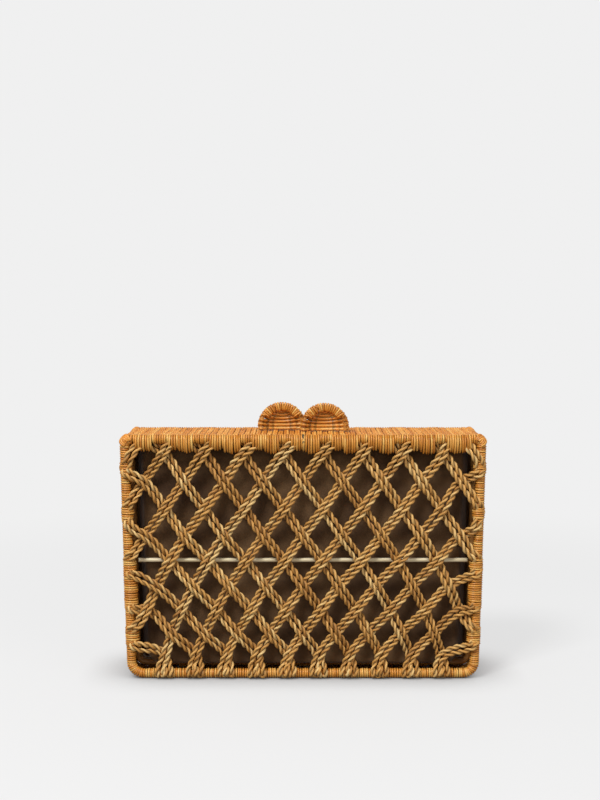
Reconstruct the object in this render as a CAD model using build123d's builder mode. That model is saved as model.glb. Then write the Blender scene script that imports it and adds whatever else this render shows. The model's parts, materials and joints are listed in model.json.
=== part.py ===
from build123d import *
import math
import os

# A rattan box clutch of two shallow halves, hinged along the bottom edge.
# Origin: middle of the underside, on the seam. X is the length, +Y the back, +Z up. Millimetres.

# Body, measured over the wound rails
body_length = 260.0
body_height = 180.0
body_depth = 60.0
top_corner_radius = 8.0
bottom_corner_radius = 12.0
seam_gap = 0.3

# Face frame: a cane rod closely wound with fine rattan core
face_rod_diameter = 4.4
core_thickness = 1.45
winding_clearance = 0.05
lashing_thickness = 6.4
lashing_edge = 1.6
top_lashing_depth = 13.5
top_lashing_split = 1.6
side_lashing_depth = 10.5
lashing_offset = 1.0
lashing_cover = 0.6
rope_notch = 10.0

# Lattice of doubled rope
rope_width = 6.2
rope_thickness = 2.9
rope_groove = 0.9
rope_wave = 1.7
foot_thickness = 1.3
foot_groove = 0.8
foot_clearance = 0.05
foot_sides = 8
top_row_drop = 13.7
bottom_row_rise = 16.6
row_pitch = 18.7
row_crowding = 0.098
column_pitch = 28.3
column_narrowing = 0.2
narrowing_start = 0.375
narrowing_power = 1.3
side_margin = 11.0

# Crossbar behind the lattice
crossbar_diameter = 3.0
crossbar_height = 88.0
crossbar_clearance = 0.1
binding_length = 8.0

# Woven wall of each half
wall_thickness = 2.4
wall_clearance = 0.05
strand_pitch = 4.0
strand_groove_width = 1.3
strand_groove_depth = 0.9
seam_bend = 1.5

# Rim rod inside each wall's seam edge
rim_rod_diameter = 5.0
rim_clearance = 0.1

# Fabric lining tray
lining_thickness = 1.6
lining_setback = 8.0
lining_corner_radius = 10.0
lining_edge_radius = 5.0
lining_taper = 5.0
lining_clearance = 0.1

# Hinge lashings round both rim rods
hinge_positions = {"left": -88.0, "middle": 0.0, "right": 88.0}
hinge_lashing_width = 12.0
hinge_lashing_thickness = 1.3
hinge_running_clearance = 0.08
hinge_notch_clearance = 1.0

# Clasp ears
ear_width = 35.0
ear_height = 20.4
ear_rod_diameter = 2.4
ear_wound_diameter = 4.8
ear_offset = 15.5
front_ear_depth = -4.9
back_ear_depth = 3.2
cup_depth = 3.6
cup_thickness = 1.5
cup_strand_pitch = 2.9
cup_strand_gap = 0.6

# Tie round the front top rail
tie_width = 1.2
tie_clearance = 0.1

# Worked out from the sizes above
wound_diameter = face_rod_diameter + 2 * core_thickness
rail_inset = wound_diameter / 2
rail_setback = body_depth / 2 - rail_inset
rim_inset = wall_thickness + rim_clearance + rim_rod_diameter / 2
rim_setback = (seam_gap + rim_rod_diameter) / 2
hem_inset = rim_inset + rim_rod_diameter / 2 + rim_clearance
lashing_radius = rim_rod_diameter / 2 + hinge_running_clearance + hinge_lashing_thickness
notch_width = hinge_lashing_width + 2 * hinge_notch_clearance
lining_inset = rim_inset + lashing_radius + lining_clearance
lining_front = rail_setback - lining_setback
wall_start = rail_setback - math.sqrt(rail_inset**2 - (rail_inset - wall_thickness) ** 2) - wall_clearance
crossbar_setback = rail_setback - rope_wave - (rope_thickness + crossbar_diameter) / 2 - crossbar_clearance
binding_setback = crossbar_setback - crossbar_diameter / 2 - core_thickness / 2
last_row = round((body_height - top_row_drop - bottom_row_rise) / row_pitch)


def rounded_box(inset, lower_radius, upper_radius):
    """Outline of the box at an inset from its outer faces, its lower edge on the drawing's X axis at inset 0."""
    with BuildSketch() as outline:
        with Locations((0, body_height / 2)):
            Rectangle(body_length - 2 * inset, body_height - 2 * inset)
        fillet(outline.vertices().group_by(Axis.Y)[0], lower_radius)
        fillet(outline.vertices().group_by(Axis.Y)[-1], upper_radius)
    return outline.sketch


def hoop_path(inset, depth):
    """Closed path round the box at an inset from its outer faces, starting at the middle of the top."""
    right = body_length / 2 - inset
    top = body_height - inset
    upper = top_corner_radius - inset
    lower = bottom_corner_radius - inset
    with BuildLine(Plane.XZ.offset(-depth)) as path:
        Line((0, top), (right - upper, top))
        JernArc((right - upper, top), (1, 0), upper, -90)
        Line((right, top - upper), (right, inset + lower))
        JernArc((right, inset + lower), (0, -1), lower, -90)
        Line((right - lower, inset), (0, inset))
        mirror(about=Plane.YZ)
    return path.wire()


def hoop_section(inset, depth, diameter):
    """Round section of a hoop, standing across the start of its path."""
    with BuildSketch(Plane((0, depth, body_height - inset), x_dir=(0, 1, 0), z_dir=(1, 0, 0))) as section:
        Circle(diameter / 2)
    return section.sketch


def crossing(row, column):
    """Place of a rope crossing on the face, as x and z. The rows crowd downwards and the columns narrow."""
    span = body_height - top_row_drop - bottom_row_rise
    share = row / last_row
    height = body_height - top_row_drop - span * ((1 + row_crowding) * share - row_crowding * share**2)
    below = max(0.0, (share - narrowing_start) / (1 - narrowing_start))
    pitch = column_pitch * (1 - column_narrowing * below**narrowing_power)
    return column * pitch, height


def is_inside(row, column):
    """Whether a crossing lies on the open face."""
    return 0 <= row <= last_row and abs(crossing(row, column)[0]) <= body_length / 2 - side_margin


def row_columns(row):
    """Columns of the crossings in one row, from left to right. Even rows stand half a column off the odd ones."""
    offset = 0.5 if row % 2 == 0 else 0.0
    reach = math.ceil(body_length / column_pitch)
    return [step + offset for step in range(-reach, reach) if is_inside(row, step + offset)]


def beyond(row, column, lean, up):
    """Point that a rope heads for when it leaves its last crossing upwards or downwards."""
    return crossing(row, column + up * lean / 2)[0], crossing(row - up, column)[1]


def meet_frame(start, target, inset):
    """Where a rope that leaves a crossing meets the frame at an inset, and whether that is at a side."""
    dx = target[0] - start[0]
    dz = target[1] - start[1]
    to_side = (math.copysign(body_length / 2 - inset, dx) - start[0]) / dx
    to_end = ((body_height - inset if dz > 0 else inset) - start[1]) / dz
    share = min(to_side, to_end)
    return start[0] + share * dx, start[1] + share * dz, to_side < to_end


def rope_crossings(row, column, lean):
    """Crossings along the rope that starts at this one and runs down the face."""
    found = [(row, column)]
    while is_inside(found[-1][0] + 1, found[-1][1] - lean / 2):
        found.append((found[-1][0] + 1, found[-1][1] - lean / 2))
    return found


def side_lashing(start, target, up):
    """The lashing that covers a rope's end at a side rail, or none if the rope ends at the top or bottom."""
    x, near, at_side = meet_frame(start, target, side_lashing_depth)
    if not at_side:
        return []
    far = meet_frame(start, target, wound_diameter)[1]
    slope_length = math.dist(start, target) / abs(target[0] - start[0])
    near += up * lashing_offset
    far += up * (rope_width / 2 * slope_length + lashing_cover)
    low = max(min(near, far), bottom_corner_radius)
    high = min(max(near, far), body_height - top_lashing_depth)
    return [("right" if x > 0 else "left", low, high, side_lashing_depth)]


def rope_end(last, below):
    """Lower end of a rope, as x, z and wave. At the bottom rail the two ropes of a crossing end side by side."""
    x, z, at_side = meet_frame(last, below, rail_inset)
    if not at_side:
        x = last[0] + math.copysign(rope_width / 2, x - last[0])
    return x, z, 0.0


def face_ropes():
    """Ropes of a face, each a list of x, z and wave, and the lashings that bind them at the side rails."""
    ropes = []
    bound = []
    starts = [(row, column, lean) for lean in (-1, 1) for row in range(last_row + 1) for column in row_columns(row)]
    for row, column, lean in starts:
        if is_inside(row - 1, column + lean / 2):
            continue
        passed = rope_crossings(row, column, lean)
        first = crossing(row, column)
        last = crossing(*passed[-1])
        above = beyond(row, column, lean, 1)
        below = beyond(*passed[-1], lean, -1)
        waves = [rope_wave if (r % 2 == 0) == (lean == 1) else -rope_wave for r, _ in passed]
        points = [(*crossing(r, c), wave) for (r, c), wave in zip(passed, waves)]
        start = (*meet_frame(first, above, rail_inset)[:2], 0.0)
        ropes.append([start, *points, rope_end(last, below)])
        bound += side_lashing(first, above, 1) + side_lashing(last, below, -1)
    return ropes, bound


def top_lashings():
    """Lashings along the top rail: two between neighbouring crossings, and one towards each corner."""
    columns = [crossing(0, column)[0] for column in row_columns(0)]
    corner = body_length / 2 - top_corner_radius
    spans = [(-corner, columns[0] - rope_notch / 2), (columns[-1] + rope_notch / 2, corner)]
    for left, right in zip(columns, columns[1:]):
        middle = (left + right) / 2
        spans.append((left + rope_notch / 2, middle - top_lashing_split / 2))
        spans.append((middle + top_lashing_split / 2, right - rope_notch / 2))
    return [("top", start, end, top_lashing_depth) for start, end in spans]


def lashing_section(rail, along, depth, reach):
    """Section of a lashing across its rail: flat sides, and an inner edge with its corners taken off."""
    if rail == "top":
        plane = Plane((along, depth, body_height - rail_inset), x_dir=(0, 1, 0), z_dir=(1, 0, 0))
    else:
        centre_x = (body_length / 2 - rail_inset) * (1 if rail == "right" else -1)
        plane = Plane((centre_x, depth, along), x_dir=(0, 1, 0), z_dir=(0, 0, 1))
    inward = 1 if rail == "right" else -1
    side = lashing_thickness / 2
    inner = reach - rail_inset
    with BuildSketch(plane) as section:
        Polygon(
            (-side, 0),
            (-side, inward * (inner - lashing_edge)),
            (lashing_edge - side, inward * inner),
            (side - lashing_edge, inward * inner),
            (side, inward * (inner - lashing_edge)),
            (side, 0),
            align=None,
        )
    return section.sketch


def rope_section(start, towards, side):
    """Section of a doubled rope, standing across its first stretch, the groove between the two outwards."""
    along = Vector(*towards) - Vector(*start)
    across = Vector(along.Z, 0, -along.X)
    crest = side * rope_thickness / 2
    groove = side * (rope_thickness / 2 - rope_groove)
    with BuildSketch(Plane(start, x_dir=across, z_dir=along)) as section:
        Polygon(
            (-rope_width / 2, 0),
            (-rope_width / 4, crest),
            (0, groove),
            (rope_width / 4, crest),
            (rope_width / 2, 0),
            (0, -crest),
            align=None,
        )
    return section.sketch


def rope(line, side):
    """One doubled rope along its line of points."""
    with BuildPart() as strand:
        with BuildLine() as path:
            Polyline(*line)
        add(rope_section(line[0], line[1], side))
        sweep(path=path.wire(), transition=Transition.RIGHT)
    return strand.part


def foot(x, depth, side):
    """The loop of doubled rope that binds a foot round the bottom rail, kept off the floor and the wall."""
    inner = rail_inset + foot_clearance
    with BuildPart() as loop:
        with BuildSketch(Plane((x, depth, rail_inset), x_dir=(0, 1, 0), z_dir=(1, 0, 0))):
            RegularPolygon(inner + foot_thickness, foot_sides, major_radius=False)
            RegularPolygon(inner, foot_sides, major_radius=False, mode=Mode.SUBTRACT)
            with Locations((0, -rail_inset)):
                Rectangle(body_depth, body_height, align=(Align.CENTER, Align.MIN), mode=Mode.INTERSECT)
            with Locations((-side * body_depth / 2, wall_thickness + foot_clearance - rail_inset)):
                Rectangle(body_depth, body_height, align=(Align.CENTER, Align.MAX), mode=Mode.SUBTRACT)
        extrude(amount=(rope_width - foot_groove) / 2, both=True)
    return loop.part


def strand_outline():
    """Points of the wall's outer face, with a groove between each strand and the next."""
    path = hoop_path(0, 0)
    count = round(path.length / strand_pitch)
    half_groove = strand_groove_width / 2 / path.length
    points = []
    for strand in range(count):
        middle = (strand + 0.5) / count
        along = path.tangent_at(middle)
        inward = Vector(along.Z, 0, -along.X) * strand_groove_depth
        points.append(path.position_at(middle - half_groove))
        points.append(path.position_at(middle) + inward)
        points.append(path.position_at(middle + half_groove))
    return [(point.X, point.Z) for point in points]


def seam_bend_section(side):
    """Section of what is cut from the wall's outer edge at the seam, where its strands bend round the rim rod."""
    near = side * seam_gap / 2
    far = side * (seam_gap / 2 + seam_bend)
    with BuildSketch(Plane.YZ) as section:
        Polygon(
            (near - side * seam_gap, body_height - seam_bend),
            (near, body_height - seam_bend),
            (far, body_height),
            (far, body_height + seam_bend),
            (near - side * seam_gap, body_height + seam_bend),
            align=None,
        )
    return section.sketch


def ear_path(centre_x, depth):
    """Line of a clasp ear's arch, from one foot to the other."""
    radius = (ear_width - ear_wound_diameter) / 2
    shoulder = body_height + ear_height - ear_width / 2
    with BuildLine(Plane.XZ.offset(-depth)) as path:
        Line((centre_x - radius, body_height), (centre_x - radius, shoulder))
        JernArc((centre_x - radius, shoulder), (0, 1), radius, -180)
        Line((centre_x + radius, shoulder), (centre_x + radius, body_height))
    return path.wire()


def ear_section(centre_x, depth, diameter):
    """Round section at the first foot of a clasp ear."""
    radius = (ear_width - ear_wound_diameter) / 2
    with BuildSketch(Plane((centre_x - radius, depth, body_height))) as section:
        Circle(diameter / 2)
    return section.sketch


def export(piece, name):
    """Label a finished piece and write it."""
    piece.label = name
    export_step(piece, f"parts/{name}.step")


os.makedirs("parts", exist_ok=True)
ropes, side_lashings = face_ropes()
lashings = top_lashings() + side_lashings
knots = [crossing(last_row, column)[0] for column in row_columns(last_row)]
foot_places = [x + way * rope_width / 2 for x in knots for way in (-1, 1)]

for half, side in {"front": -1, "back": 1}.items():
    rail_y = side * rail_setback
    rim_y = side * rim_setback
    seam_plane = Plane.XZ.offset(-side * seam_gap / 2)
    away_from_seam = -side

    # The cane hoop of the face
    with BuildPart() as face_rod:
        add(hoop_section(rail_inset, rail_y, face_rod_diameter))
        sweep(path=hoop_path(rail_inset, rail_y))
    export(face_rod.part, f"{half}_face_rod")

    # The close winding, wider where it binds the ropes and the crossbar's ends
    with BuildPart() as edge_winding:
        add(hoop_section(rail_inset, rail_y, wound_diameter))
        sweep(path=hoop_path(rail_inset, rail_y))
        for rail, start, end, reach in lashings:
            along = (1, 0, 0) if rail == "top" else (0, 0, 1)
            extrude(lashing_section(rail, start, rail_y, reach), amount=end - start, dir=along)
        binding_width = side_lashing_depth - rail_inset
        binding_x = body_length / 2 - rail_inset - binding_width / 2
        binding_y = side * (rail_setback + binding_setback) / 2
        with Locations((-binding_x, binding_y, crossbar_height), (binding_x, binding_y, crossbar_height)):
            Box(binding_width, rail_setback - binding_setback, binding_length)
        add(hoop_section(rail_inset, rail_y, face_rod_diameter + 2 * winding_clearance))
        sweep(path=hoop_path(rail_inset, rail_y), mode=Mode.SUBTRACT)
        if half == "front":
            with Locations((0, rail_y, body_height - rail_inset)):
                Box(tie_width + 2 * tie_clearance, 2 * wound_diameter, wound_diameter, mode=Mode.SUBTRACT)
    export(edge_winding.part, f"{half}_edge_winding")

    # The open part of the face, inside the winding and its lashings
    with BuildSketch(Plane.XZ.offset(-rail_y)) as open_face:
        with Locations((0, body_height / 2)):
            Rectangle(body_length - 2 * wound_diameter, body_height - 2 * wound_diameter)
        for rail, start, end, reach in lashings:
            middle = (start + end) / 2
            if rail == "top":
                with Locations((middle, body_height)):
                    Rectangle(end - start, 2 * reach, mode=Mode.SUBTRACT)
            else:
                with Locations((body_length / 2 * (1 if rail == "right" else -1), middle)):
                    Rectangle(2 * reach, end - start, mode=Mode.SUBTRACT)
        with Locations((-body_length / 2, crossbar_height), (body_length / 2, crossbar_height)):
            Rectangle(2 * side_lashing_depth, binding_length, mode=Mode.SUBTRACT)

    # The lattice: each rope passes over and under the ropes that lean the other way
    with BuildPart() as lattice:
        add([rope([(x, rail_y + side * wave, z) for x, z, wave in points], side) for points in ropes])
        extrude(open_face.sketch, amount=wound_diameter, both=True, mode=Mode.INTERSECT)
        add([foot(x, rail_y, side) for x in foot_places])
    export(lattice.part, f"{half}_lattice")

    # The pale cane crossbar behind the lattice
    crossbar_end = body_length / 2 - side_lashing_depth
    with BuildPart() as crossbar:
        with BuildSketch(Plane((-crossbar_end, side * crossbar_setback, crossbar_height), z_dir=(1, 0, 0))):
            Circle(crossbar_diameter / 2)
        extrude(amount=2 * crossbar_end)
    export(crossbar.part, f"{half}_crossbar")

    # The woven wall, its strands running from the face to the seam, cut back where the halves hinge
    with BuildPart() as wall:
        with BuildSketch(seam_plane):
            Polygon(*strand_outline(), align=None)
            lower = bottom_corner_radius - wall_thickness
            upper = top_corner_radius - wall_thickness
            add(rounded_box(wall_thickness, lower, upper), mode=Mode.SUBTRACT)
        extrude(amount=away_from_seam * (wall_start - seam_gap / 2))
        add(seam_bend_section(side))
        sweep(path=hoop_path(0, side * seam_gap / 2), transition=Transition.RIGHT, mode=Mode.SUBTRACT)
        Box(body_length, 2 * rim_setback, 2 * rim_inset, mode=Mode.SUBTRACT)
        notch_reach = rim_setback + lashing_radius + hinge_notch_clearance
        with Locations(*[(x, 0, 0) for x in hinge_positions.values()]):
            Box(notch_width, 2 * notch_reach, 2 * rim_inset, mode=Mode.SUBTRACT)
    export(wall.part, f"{half}_wall")

    # The cane hoop inside the wall's seam edge
    with BuildPart() as rim_rod:
        add(hoop_section(rim_inset, rim_y, rim_rod_diameter))
        sweep(path=hoop_path(rim_inset, rim_y))
    export(rim_rod.part, f"{half}_rim_rod")

    # The stiffened fabric tray, with a hem that reaches the rim rod
    tray_depth = lining_front - seam_gap / 2
    inner_radius = lining_corner_radius - lining_thickness
    with BuildPart() as lining:
        with BuildSketch(seam_plane):
            add(rounded_box(lining_inset, lining_corner_radius, lining_corner_radius))
        extrude(amount=away_from_seam * tray_depth, taper=lining_taper)
        fillet(lining.faces().sort_by(Axis.Y)[0 if half == "front" else -1].edges(), lining_edge_radius)
        with BuildSketch(seam_plane):
            add(rounded_box(lining_inset + lining_thickness, inner_radius, inner_radius))
        extrude(amount=away_from_seam * (tray_depth - lining_thickness), taper=lining_taper, mode=Mode.SUBTRACT)
        panel = lining.faces().filter_by(Axis.Y).sort_by(Axis.Y)[1 if half == "front" else -2]
        fillet(panel.edges(), lining_edge_radius - lining_thickness)
        with BuildSketch(seam_plane):
            add(rounded_box(hem_inset, lining_corner_radius, lining_corner_radius))
            add(rounded_box(lining_inset + lining_thickness, inner_radius, inner_radius), mode=Mode.SUBTRACT)
        extrude(amount=away_from_seam * lining_thickness)
        with Locations(*[(x, 0, 0) for x in hinge_positions.values()]):
            Box(notch_width, body_depth, 2 * lining_inset, mode=Mode.SUBTRACT)
    export(lining.part, f"{half}_lining")

    # The bent cane core of the clasp ear
    ear_x = -side * ear_offset
    ear_y = front_ear_depth if half == "front" else back_ear_depth
    with BuildPart() as ear_arch:
        add(ear_section(ear_x, ear_y, ear_rod_diameter))
        sweep(path=ear_path(ear_x, ear_y))
    export(ear_arch.part, f"{half}_ear_arch")

    # The winding of the ear, with the strands that cross it in a shallow cup
    ear_radius = (ear_width - ear_wound_diameter) / 2
    shoulder = body_height + ear_height - ear_width / 2
    cup_radius = (ear_radius**2 + cup_depth**2) / (2 * cup_depth)
    with BuildPart() as ear_winding:
        with BuildSketch(Plane.YZ.offset(ear_x)):
            with Locations((ear_y + cup_depth - cup_radius, shoulder)):
                Circle(cup_radius)
                Circle(cup_radius - cup_thickness, mode=Mode.SUBTRACT)
            with Locations((ear_y, shoulder)):
                Rectangle(2 * cup_radius, ear_radius, align=(Align.MIN, Align.MIN), mode=Mode.INTERSECT)
        revolve(axis=Axis((ear_x, ear_y, shoulder), (0, 1, 0)))
        with Locations((ear_x, ear_y, body_height)):
            Box(ear_width, body_depth, body_height, align=(Align.CENTER, Align.CENTER, Align.MAX), mode=Mode.SUBTRACT)
        strands = math.floor((ear_height - ear_wound_diameter) / cup_strand_pitch)
        gaps = [body_height + strand * cup_strand_pitch for strand in range(1, strands + 1)]
        with Locations(*[(ear_x, ear_y, z) for z in gaps]):
            Box(ear_width, body_depth, cup_strand_gap, mode=Mode.SUBTRACT)
        add(ear_section(ear_x, ear_y, ear_wound_diameter))
        sweep(path=ear_path(ear_x, ear_y))
        add(ear_section(ear_x, ear_y, ear_rod_diameter + 2 * winding_clearance))
        sweep(path=ear_path(ear_x, ear_y), mode=Mode.SUBTRACT)
    export(ear_winding.part, f"{half}_ear_winding")

# The hinge: lashings that stay with the back half while the front rim rod turns inside them
for place, x in hinge_positions.items():
    with BuildPart() as hinge_lashing:
        with BuildSketch(Plane.YZ.offset(x)):
            with Locations((0, rim_inset)):
                SlotCenterToCenter(2 * rim_setback, 2 * lashing_radius)
                SlotCenterToCenter(2 * rim_setback, 2 * (lashing_radius - hinge_lashing_thickness), mode=Mode.SUBTRACT)
        extrude(amount=hinge_lashing_width / 2, both=True)
    export(hinge_lashing.part, f"hinge_lashing_{place}")

# The dark tie between two lashings of the front top rail
with BuildPart() as rail_tie:
    with BuildSketch(Plane.YZ):
        with Locations((-rail_setback, body_height - rail_inset)):
            Circle(wound_diameter / 2)
            Circle(face_rod_diameter / 2 + winding_clearance, mode=Mode.SUBTRACT)
    extrude(amount=tie_width / 2, both=True)
export(rail_tie.part, "rail_tie")
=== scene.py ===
"""Looks of a rattan basket box bag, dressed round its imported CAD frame.

Everything is in metres in the frame of the CAD: X is the length, +Y the back, +Z up.
"""

import json
import logging
import math
import random
from dataclasses import dataclass, field
from enum import Enum
from typing import Callable, Iterable, Sequence

import bpy
from mathutils import Matrix, Vector

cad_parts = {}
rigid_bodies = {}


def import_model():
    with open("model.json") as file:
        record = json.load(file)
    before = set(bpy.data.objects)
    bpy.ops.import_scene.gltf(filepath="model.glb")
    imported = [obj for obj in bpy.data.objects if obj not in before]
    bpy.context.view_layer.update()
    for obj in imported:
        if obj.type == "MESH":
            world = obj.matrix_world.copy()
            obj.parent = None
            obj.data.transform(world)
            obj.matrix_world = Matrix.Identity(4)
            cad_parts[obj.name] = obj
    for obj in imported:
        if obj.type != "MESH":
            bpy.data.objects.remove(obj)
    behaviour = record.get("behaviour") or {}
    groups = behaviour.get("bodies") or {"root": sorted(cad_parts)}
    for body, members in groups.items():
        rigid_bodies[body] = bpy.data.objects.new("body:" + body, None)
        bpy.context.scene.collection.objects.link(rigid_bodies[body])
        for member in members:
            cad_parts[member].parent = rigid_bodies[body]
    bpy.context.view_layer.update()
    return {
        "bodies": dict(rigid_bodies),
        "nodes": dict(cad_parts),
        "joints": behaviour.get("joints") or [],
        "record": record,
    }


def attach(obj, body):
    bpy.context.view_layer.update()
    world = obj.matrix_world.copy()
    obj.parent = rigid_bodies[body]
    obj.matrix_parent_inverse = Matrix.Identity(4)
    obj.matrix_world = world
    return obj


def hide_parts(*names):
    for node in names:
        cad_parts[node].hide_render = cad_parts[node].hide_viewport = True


LOG = logging.getLogger("basket_box_bag")
FULL_TURN = 2 * math.pi
RING_SEGMENTS = 14
CORE_SIDES = 6
SAME_PLACE = 1e-5
WHITE = (1.0, 1.0, 1.0)
HINGE_PLACES = {"left": -0.088, "middle": 0.0, "right": 0.088}
Point = tuple[float, float]
Triple = tuple[float, float, float]
Paint = tuple[int, int, int]
Mesh = bpy.types.Mesh
Node = bpy.types.Node
Object = bpy.types.Object
Socket = bpy.types.NodeSocket


class Half(Enum):
    """The two halves of the bag."""

    FRONT = "front"
    BACK = "back"

    @property
    def side(self) -> int:
        """Direction from the seam to the half's face along Y."""
        return -1 if self is Half.FRONT else 1

    @property
    def body(self) -> str:
        """Name of the body that the half rides on."""
        return f"{self.value}_half"


class Lean(Enum):
    """The two directions of the ropes across a face."""

    FALLING = -1
    RISING = 1


class Rail(Enum):
    """The four straight stretches of a face hoop."""

    TOP = "top"
    RIGHT = "right"
    BOTTOM = "bottom"
    LEFT = "left"


# ---- Working on objects ----


def edit(on: bool) -> None:
    """Enter or leave edit mode."""
    bpy.ops.object.mode_set(mode="EDIT" if on else "OBJECT")


def deselect() -> None:
    """Leave edit mode and clear the selection."""
    if bpy.context.object and bpy.context.object.mode != "OBJECT":
        edit(False)
    bpy.ops.object.select_all(action="DESELECT")


def activate(piece: Object) -> None:
    """Make one object the only selected one, and the active one."""
    deselect()
    piece.select_set(True)
    bpy.context.view_layer.objects.active = piece


def select_vertices(piece: Object, wanted: Callable[[Vector], bool]) -> None:
    """Enter edit mode with only the vertices selected that lie where asked.

    Args:
        piece: the mesh object.
        wanted: tells from a vertex's place whether it is selected.
    """
    activate(piece)
    edit(True)
    bpy.ops.mesh.select_mode(type="VERT")
    bpy.ops.mesh.select_all(action="DESELECT")
    edit(False)
    for vertex in piece.data.vertices:
        vertex.select = wanted(vertex.co)
    edit(True)


def apply_modifiers(piece: Object) -> None:
    """Apply all modifiers of a piece in order."""
    activate(piece)
    for modifier in list(piece.modifiers):
        bpy.ops.object.modifier_apply(modifier=modifier.name)


def join(parts: Sequence[Object], name: str) -> Object:
    """Join objects into one piece.

    Args:
        parts: the objects, each with its own mesh.
        name: name of the piece.

    Returns:
        The joined piece.
    """
    activate(parts[0])
    for part in parts:
        part.select_set(True)
    bpy.ops.object.join()
    parts[0].name = name
    parts[0].data.name = name
    return parts[0]


def set_values(mesh: Mesh, name: str, kind: str, values: Sequence[float]) -> None:
    """Write one value or vector for each vertex of a mesh.

    Args:
        mesh: the mesh.
        name: name of the attribute.
        kind: FLOAT or FLOAT_VECTOR.
        values: the numbers in the order of the vertices.
    """
    attribute = mesh.attributes.get(name) or mesh.attributes.new(name, kind, "POINT")
    attribute.data.foreach_set("value" if kind == "FLOAT" else "vector", values)


def discard(piece: Object) -> None:
    """Remove a helper object."""
    bpy.data.objects.remove(piece, do_unlink=True)


def place_copies(pattern: Object, places: Iterable[Matrix], draw: random.Random) -> list[Object]:
    """Copy a modelled pattern to many places, each copy with its own mesh and tone, and remove the pattern.

    Args:
        pattern: the object that repeats.
        places: where the copies go.
        draw: source of the tones.

    Returns:
        The copies.
    """
    copies = []
    for place in places:
        mesh = pattern.data.copy()
        mesh.transform(place)
        set_values(mesh, "tone", "FLOAT", [draw.random()] * len(mesh.vertices))
        copy = bpy.data.objects.new("strand", mesh)
        bpy.context.collection.objects.link(copy)
        copies.append(copy)
    discard(pattern)
    return copies


def shade_smooth(piece: Object, angle: float = math.radians(75)) -> None:
    """Smooth a piece's shading over all but its sharp edges."""
    activate(piece)
    bpy.ops.object.shade_smooth_by_angle(angle=angle)


def frame_at(place: Vector, x_axis: Vector, y_axis: Vector) -> Matrix:
    """Frame at a place, with its Z axis square to the other two.

    Args:
        place: the frame's origin.
        x_axis: its first axis, one long.
        y_axis: its second axis, one long and square to the first.

    Returns:
        The frame's matrix.
    """
    turned = Matrix((x_axis, y_axis, x_axis.cross(y_axis))).transposed()
    return Matrix.Translation(place) @ turned.to_4x4()


def smooth_curve(points: Sequence[Vector], radius: float = 0.0) -> Object:
    """A smooth curve through points, round if it has a radius.

    Args:
        points: the places that it passes through.
        radius: half the thickness, or 0 for a bare path.

    Returns:
        The curve object.
    """
    curve = bpy.data.curves.new("path", "CURVE")
    curve.dimensions = "3D"
    curve.resolution_u = 4 if radius else 8
    curve.bevel_depth = radius
    curve.bevel_resolution = 1
    curve.use_fill_caps = bool(radius)
    spline = curve.splines.new("BEZIER")
    spline.bezier_points.add(len(points) - 1)
    for knot, point in zip(spline.bezier_points, points):
        knot.co = point
        knot.handle_left_type = "AUTO"
        knot.handle_right_type = "AUTO"
    path = bpy.data.objects.new("path", curve)
    bpy.context.collection.objects.link(path)
    return path


def round_strand(points: Sequence[Vector], radius: float, tone: float, faces: Vector | None = None) -> Object:
    """A strand of core along points, with its grain and tone.

    Args:
        points: the places that it passes through.
        radius: half its thickness.
        tone: how light it is, from 0 to 1.
        faces: the direction that it shows, with painted groove shade at both sides of it, or none for no
            painted shade.

    Returns:
        The strand's mesh object.
    """
    strand = smooth_curve(points, radius)
    activate(strand)
    bpy.ops.object.convert(target="MESH")
    strand = bpy.context.object
    mesh = strand.data
    lengths = [0.0]
    for start, end in zip(points, points[1:]):
        lengths.append(lengths[-1] + (end - start).length)
    grain = []
    crest = []
    for vertex in mesh.vertices:
        nearest = min(range(len(points)), key=lambda i: (vertex.co - points[i]).length)
        offset = vertex.co - points[nearest]
        grain += [lengths[nearest], offset.y, offset.z]
        # Painted shade: the crest value falls towards the strand's sides, and the finish darkens low values
        # as groove shade.
        crest.append(min(1.0, abs(offset.dot(faces)) / radius) if faces else 1.0)
    set_values(mesh, "grain", "FLOAT_VECTOR", grain)
    set_values(mesh, "tone", "FLOAT", [tone] * len(mesh.vertices))
    set_values(mesh, "crest", "FLOAT", crest)
    return strand


def core_ring(
    radius: float, thickness: float, stretch: Vector | None = None, both_ways: bool = False
) -> Object:
    """One closed turn of core, a circle or a loop drawn out from it.

    Args:
        radius: radius of the turn's centre line.
        thickness: thickness of the core.
        stretch: how far one end of the loop is drawn out in the turn's plane, or none for a circle.
        both_ways: whether the other end is drawn out as far the other way.

    Returns:
        The turn, round the Z axis at the origin.
    """
    deselect()
    bpy.ops.mesh.primitive_torus_add(
        major_segments=RING_SEGMENTS,
        minor_segments=CORE_SIDES,
        major_radius=radius,
        minor_radius=thickness / 2,
    )
    ring = bpy.context.object
    mesh = ring.data
    grain = []
    crest = []
    for vertex in mesh.vertices:
        x, y, z = vertex.co
        outer = (math.hypot(x, y) - radius) / (thickness / 2)
        grain += [math.atan2(-y, -x) * radius, outer * thickness / 2, z]
        # Painted shade: the crest value is 0 on the inner half of the turn, so the finish darkens it as
        # groove shade.
        crest.append(max(0.0, outer))
    set_values(mesh, "grain", "FLOAT_VECTOR", grain)
    set_values(mesh, "crest", "FLOAT", crest)
    if stretch:
        select_vertices(ring, lambda place: place.dot(stretch) > SAME_PLACE * stretch.length)
        bpy.ops.transform.translate(value=stretch)
        if both_ways:
            select_vertices(ring, lambda place: place.dot(stretch) < -SAME_PLACE * stretch.length)
            bpy.ops.transform.translate(value=-stretch)
        edit(False)
    return ring


# ---- Finishes ----


def linear(paint: Paint) -> Triple:
    """Scene-linear colour of an 8-bit display colour."""
    shares = [part / 255 for part in paint]
    return tuple(share / 12.92 if share <= 0.04045 else ((share + 0.055) / 1.055) ** 2.4 for share in shares)


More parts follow.
